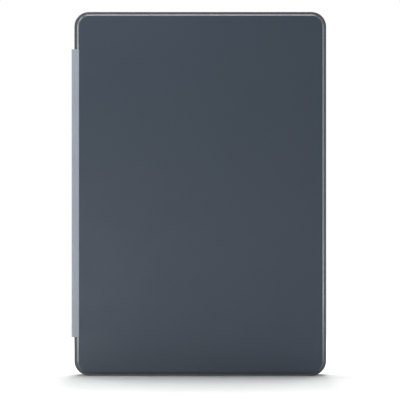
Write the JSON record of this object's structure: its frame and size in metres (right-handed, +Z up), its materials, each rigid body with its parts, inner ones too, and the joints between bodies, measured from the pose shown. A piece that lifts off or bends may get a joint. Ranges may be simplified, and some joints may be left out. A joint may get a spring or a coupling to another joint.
{
  "type": "tablet keyboard case",
  "caption": "Slim folding tablet case: a slate cover with a built-in keyboard and click pad, a soft grey spine strip, and a framed tablet bay with a kickstand on its back.",
  "frame": {"origin": "middle of the short edge that the closed case stands on, at half its depth", "axes": "+X across the case away from the spine, +Y from the cover's outer face to the back, +Z up along the spine"},
  "size_m": [0.187, 0.0182, 0.2672],
  "materials": {
    "cover_skin": "soft-touch satin, dark slate",
    "strip": "satin elastomer, light grey",
    "tray": "fine matt, near black",
    "deck": "soft-touch satin, dark slate",
    "steel": "bright",
    "support": "rolled sheet",
    "membrane": "clear film with printed tracks",
    "dome": "matt silicone",
    "touchpad": "satin",
    "spring_sheet": "rolled sheet",
    "switch": "moulded",
    "board": "solder mask",
    "can": "tinned",
    "socket": "satin",
    "battery": "foil pouch",
    "knob": "fine matt",
    "lens": "frosted clear",
    "magnet": "nickel plated",
    "bumper": "matt",
    "back_skin": "soft-touch satin, dark slate",
    "frame": "fine matt, near black",
    "lining": "short-pile microfibre",
    "ring": "anodised",
    "stand": "painted satin, dark slate",
    "keycap": "fine matt, near black"
  },
  "bodies": {
    "shell": {"back_plate": "back_skin", "bumper_frame": "frame", "back_lining": "lining", "camera_ring": "ring", "shell_magnets": "magnet", "shell_flange": "strip"},
    "kickstand": {"kickstand_plate": "stand", "kickstand_pins": "steel", "kickstand_grip": "bumper"},
    "spine": {"spine_web": "strip"},
    "cover": {"cover_panel": "cover_skin", "cover_flange": "strip", "keyboard_tray": "tray", "keyboard_deck": "deck", "key_support_plate": "support", "membrane_sheet": "membrane", "dome_sheet": "dome", "touchpad_spring": "spring_sheet", "touchpad_switch": "switch", "main_board": "board", "controller_can": "can", "charging_socket": "socket", "battery_cell": "battery", "switch_body": "switch", "indicator_lenses": "lens", "cover_magnets": "magnet", "screen_bumpers": "bumper"},
    "touchpad": {"touchpad_plate": "touchpad"},
    "power_knob": {"power_switch_knob": "knob"},
    "function_row_keys": {"function_row_keys": "keycap"},
    "number_row_keys": {"number_row_keys": "keycap"},
    "backspace_key": {"backspace_key": "keycap"},
    "tab_key": {"tab_key": "keycap"},
    "upper_letter_keys": {"upper_letter_keys": "keycap"},
    "backslash_key": {"backslash_key": "keycap"},
    "caps_lock_key": {"caps_lock_key": "keycap"},
    "home_letter_keys": {"home_letter_keys": "keycap"},
    "enter_key": {"enter_key": "keycap"},
    "left_shift_key": {"left_shift_key": "keycap"},
    "lower_letter_keys": {"lower_letter_keys": "keycap"},
    "right_shift_key": {"right_shift_key": "keycap"},
    "up_arrow_key": {"up_arrow_key": "keycap"},
    "left_modifier_keys": {"left_modifier_keys": "keycap"},
    "space_bar": {"space_bar": "keycap"},
    "right_modifier_keys": {"right_modifier_keys": "keycap"},
    "left_arrow_key": {"left_arrow_key": "keycap"},
    "down_arrow_key": {"down_arrow_key": "keycap"},
    "right_arrow_key": {"right_arrow_key": "keycap"}
  },
  "joints": [
    {"name": "back_fold", "type": "hinge", "parent": "shell", "child": "spine", "pos_m": [-0.09377, 0.0084, 0.1336], "axis": [0, 0, -1], "range_deg": [0, 90]},
    {"name": "cover_fold", "type": "hinge", "parent": "spine", "child": "cover", "pos_m": [-0.09377, -0.0084, 0.1336], "axis": [0, 0, -1], "range_deg": [0, 90]},
    {"name": "kickstand_swing", "type": "hinge", "parent": "shell", "child": "kickstand", "pos_m": [0.004, 0.008, 0.1336], "axis": [0, 0, -1], "range_deg": [0, 115]},
    {"name": "pad_click", "type": "slide", "parent": "cover", "child": "touchpad", "axis": [0, -1, 0], "range_m": [0, 0.0004], "stiffness_N_per_m": 1500, "deforming": ["touchpad_spring"]},
    {"name": "power_switch_slide", "type": "slide", "parent": "cover", "child": "power_knob", "axis": [1, 0, 0], "range_m": [0, 0.0025]},
    {"name": "press_function_row", "type": "slide", "parent": "cover", "child": "function_row_keys", "axis": [0, -1, 0], "range_m": [0, 0.001], "stiffness_N_per_m": 500, "deforming": ["dome_sheet"]},
    {"name": "press_number_row", "type": "slide", "parent": "cover", "child": "number_row_keys", "axis": [0, -1, 0], "range_m": [0, 0.001], "stiffness_N_per_m": 500, "deforming": ["dome_sheet"]},
    {"name": "press_backspace", "type": "slide", "parent": "cover", "child": "backspace_key", "axis": [0, -1, 0], "range_m": [0, 0.001], "stiffness_N_per_m": 500, "deforming": ["dome_sheet"]},
    {"name": "press_tab", "type": "slide", "parent": "cover", "child": "tab_key", "axis": [0, -1, 0], "range_m": [0, 0.001], "stiffness_N_per_m": 500, "deforming": ["dome_sheet"]},
    {"name": "press_upper_letter", "type": "slide", "parent": "cover", "child": "upper_letter_keys", "axis": [0, -1, 0], "range_m": [0, 0.001], "stiffness_N_per_m": 500, "deforming": ["dome_sheet"]},
    {"name": "press_backslash", "type": "slide", "parent": "cover", "child": "backslash_key", "axis": [0, -1, 0], "range_m": [0, 0.001], "stiffness_N_per_m": 500, "deforming": ["dome_sheet"]},
    {"name": "press_caps_lock", "type": "slide", "parent": "cover", "child": "caps_lock_key", "axis": [0, -1, 0], "range_m": [0, 0.001], "stiffness_N_per_m": 500, "deforming": ["dome_sheet"]},
    {"name": "press_home_letter", "type": "slide", "parent": "cover", "child": "home_letter_keys", "axis": [0, -1, 0], "range_m": [0, 0.001], "stiffness_N_per_m": 500, "deforming": ["dome_sheet"]},
    {"name": "press_enter", "type": "slide", "parent": "cover", "child": "enter_key", "axis": [0, -1, 0], "range_m": [0, 0.001], "stiffness_N_per_m": 500, "deforming": ["dome_sheet"]},
    {"name": "press_left_shift", "type": "slide", "parent": "cover", "child": "left_shift_key", "axis": [0, -1, 0], "range_m": [0, 0.001], "stiffness_N_per_m": 500, "deforming": ["dome_sheet"]},
    {"name": "press_lower_letter", "type": "slide", "parent": "cover", "child": "lower_letter_keys", "axis": [0, -1, 0], "range_m": [0, 0.001], "stiffness_N_per_m": 500, "deforming": ["dome_sheet"]},
    {"name": "press_right_shift", "type": "slide", "parent": "cover", "child": "right_shift_key", "axis": [0, -1, 0], "range_m": [0, 0.001], "stiffness_N_per_m": 500, "deforming": ["dome_sheet"]},
    {"name": "press_up_arrow", "type": "slide", "parent": "cover", "child": "up_arrow_key", "axis": [0, -1, 0], "range_m": [0, 0.001], "stiffness_N_per_m": 500, "deforming": ["dome_sheet"]},
    {"name": "press_left_modifier", "type": "slide", "parent": "cover", "child": "left_modifier_keys", "axis": [0, -1, 0], "range_m": [0, 0.001], "stiffness_N_per_m": 500, "deforming": ["dome_sheet"]},
    {"name": "press_space_bar", "type": "slide", "parent": "cover", "child": "space_bar", "axis": [0, -1, 0], "range_m": [0, 0.001], "stiffness_N_per_m": 500, "deforming": ["dome_sheet"]},
    {"name": "press_right_modifier", "type": "slide", "parent": "cover", "child": "right_modifier_keys", "axis": [0, -1, 0], "range_m": [0, 0.001], "stiffness_N_per_m": 500, "deforming": ["dome_sheet"]},
    {"name": "press_left_arrow", "type": "slide", "parent": "cover", "child": "left_arrow_key", "axis": [0, -1, 0], "range_m": [0, 0.001], "stiffness_N_per_m": 500, "deforming": ["dome_sheet"]},
    {"name": "press_down_arrow", "type": "slide", "parent": "cover", "child": "down_arrow_key", "axis": [0, -1, 0], "range_m": [0, 0.001], "stiffness_N_per_m": 500, "deforming": ["dome_sheet"]},
    {"name": "press_right_arrow", "type": "slide", "parent": "cover", "child": "right_arrow_key", "axis": [0, -1, 0], "range_m": [0, 0.001], "stiffness_N_per_m": 500, "deforming": ["dome_sheet"]}
  ]
}
